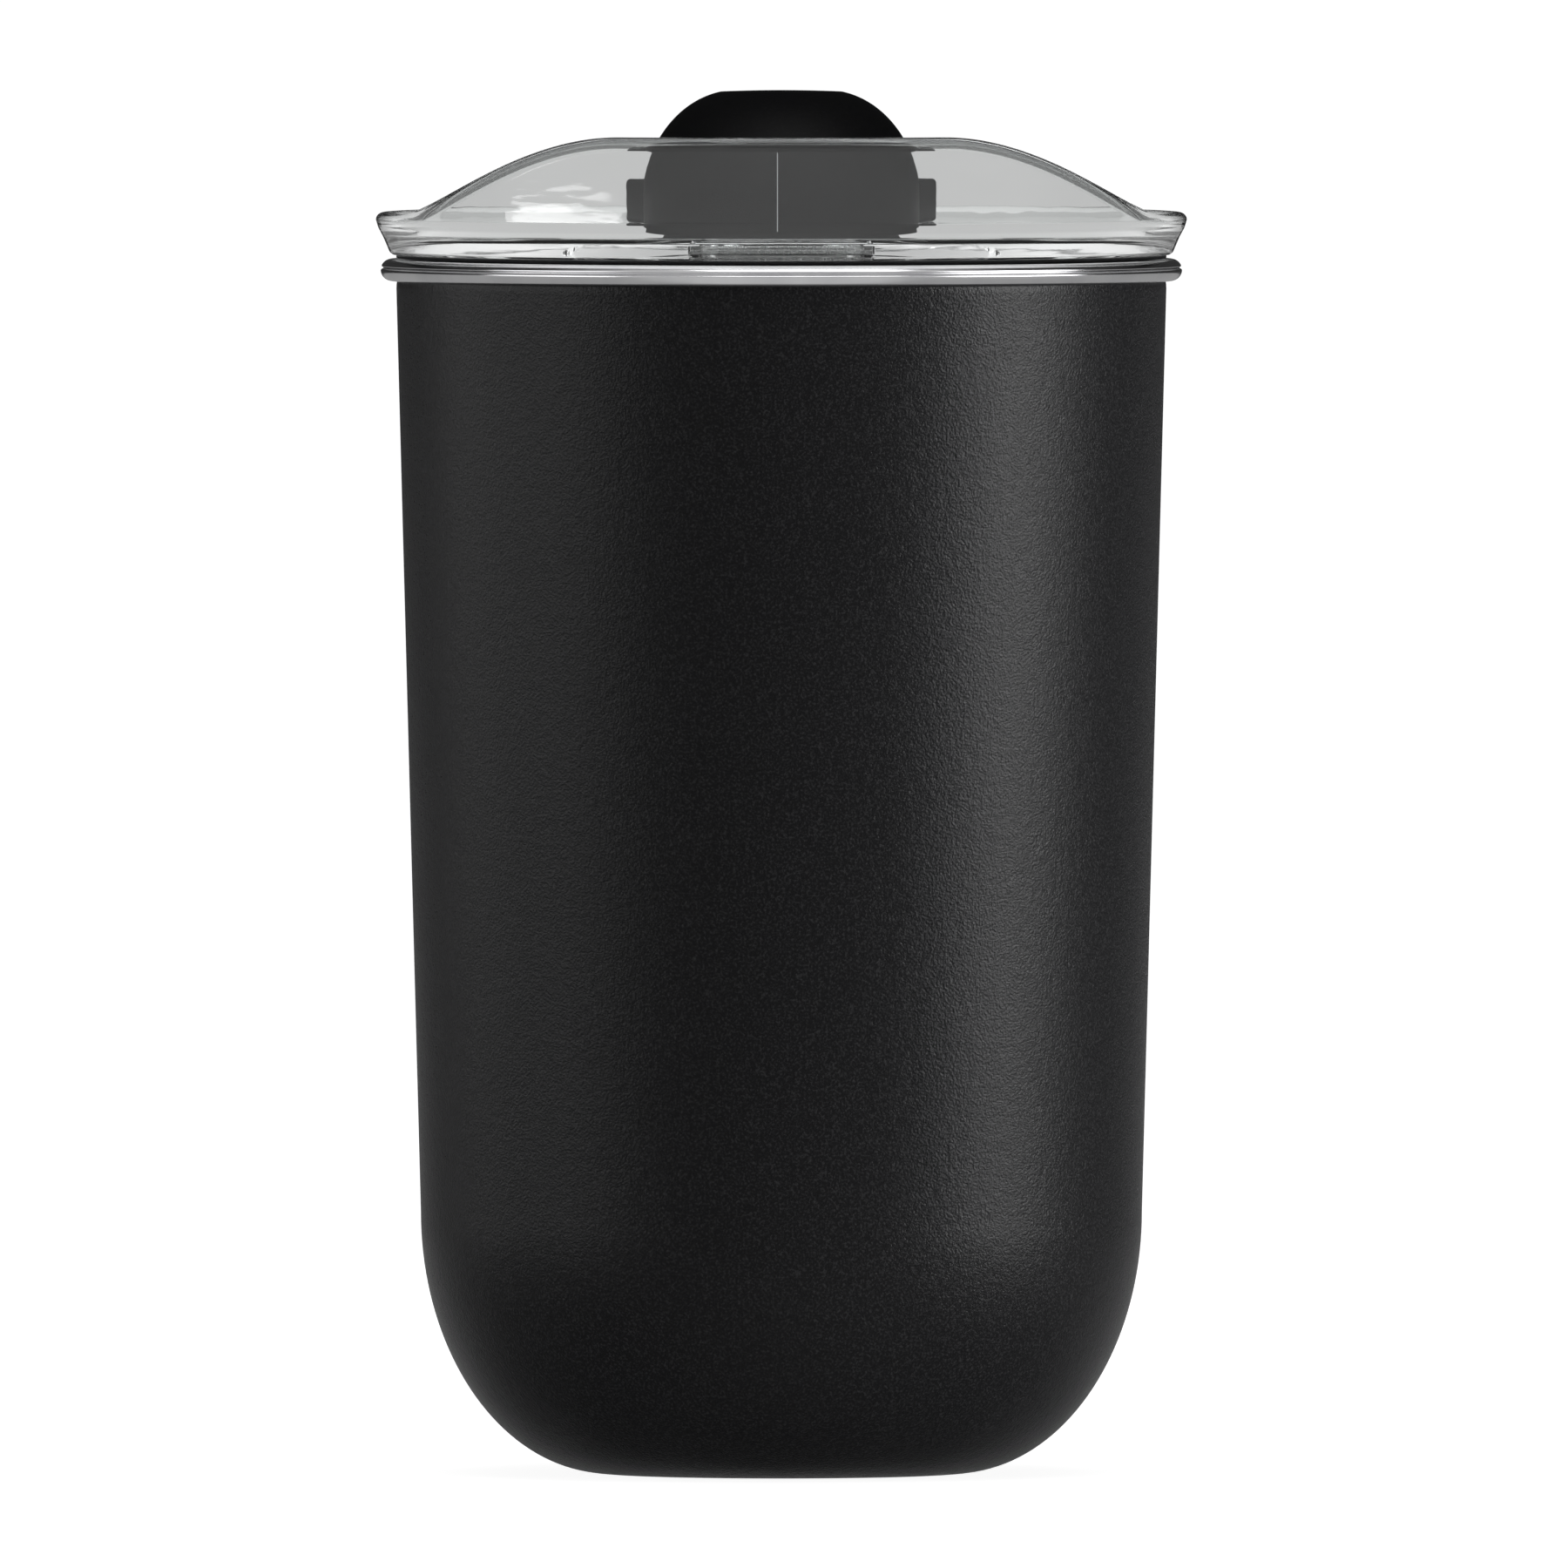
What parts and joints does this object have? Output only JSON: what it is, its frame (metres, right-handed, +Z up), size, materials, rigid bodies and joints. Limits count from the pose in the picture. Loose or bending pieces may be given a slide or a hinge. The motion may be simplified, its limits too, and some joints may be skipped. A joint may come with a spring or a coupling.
{
  "type": "french press",
  "caption": "Compact insulated coffee press: black double-walled steel vessel, clear press-in lid with a raised drinking wall, rotary shutter and plunger with mesh filter.",
  "frame": {"origin": "middle of the flat foot, on the surface that the press stands on", "axes": "+Z up along the vessel's axis; the drinking slot and the raised wall face -Y, the shutter's grip is at +Y"},
  "size_m": [0.093, 0.093, 0.1587],
  "materials": {
    "powder_coat": "fine-grained satin black powder coat",
    "polished_steel": "polished stainless steel",
    "brushed_steel": "brushed stainless steel",
    "spring_steel": "drawn stainless wire",
    "steel_mesh": "fine woven stainless mesh",
    "getter_metal": "sintered grey metal",
    "solder": "dull solder bead",
    "brass": "turned brass",
    "clear_plastic": "clear polished copolyester",
    "black_plastic": "smooth matte black moulded plastic",
    "silicone": "dark silicone rubber",
    "clear_silicone": "translucent silicone rubber"
  },
  "bodies": {
    "vessel": {"outer_shell": "powder_coat", "base_disc": "brushed_steel", "vent_solder": "solder", "vacuum_getter": "getter_metal", "inner_vessel": "polished_steel"},
    "lid": {"lid_body": "clear_plastic", "lid_gasket": "silicone", "slot_seal": "clear_silicone", "rod_guide": "black_plastic", "rod_seal": "silicone"},
    "shutter": {"shutter_disc": "clear_plastic", "shutter_grip": "black_plastic"},
    "plunger": {"knob_cap": "black_plastic", "knob_insert": "brass", "knob_bumper": "silicone", "plunger_rod": "polished_steel", "filter_collar": "brushed_steel", "pressure_plate": "brushed_steel", "edge_spring": "spring_steel", "mesh_screen": "steel_mesh", "cross_plate": "brushed_steel", "hub_nut": "brushed_steel"}
  },
  "joints": [
    {"name": "lid_lift", "type": "slide", "parent": "vessel", "child": "lid", "axis": [0, 0, 1], "range_m": [0, 0.125]},
    {"name": "plunger_press", "type": "slide", "parent": "lid", "child": "plunger", "axis": [0, 0, 1], "range_m": [0, 0.085]},
    {"name": "shutter_turn", "type": "hinge", "parent": "lid", "child": "shutter", "pos_m": [0, 0, 0.1425], "axis": [0, 0, 1], "range_deg": [0, 35]}
  ]
}
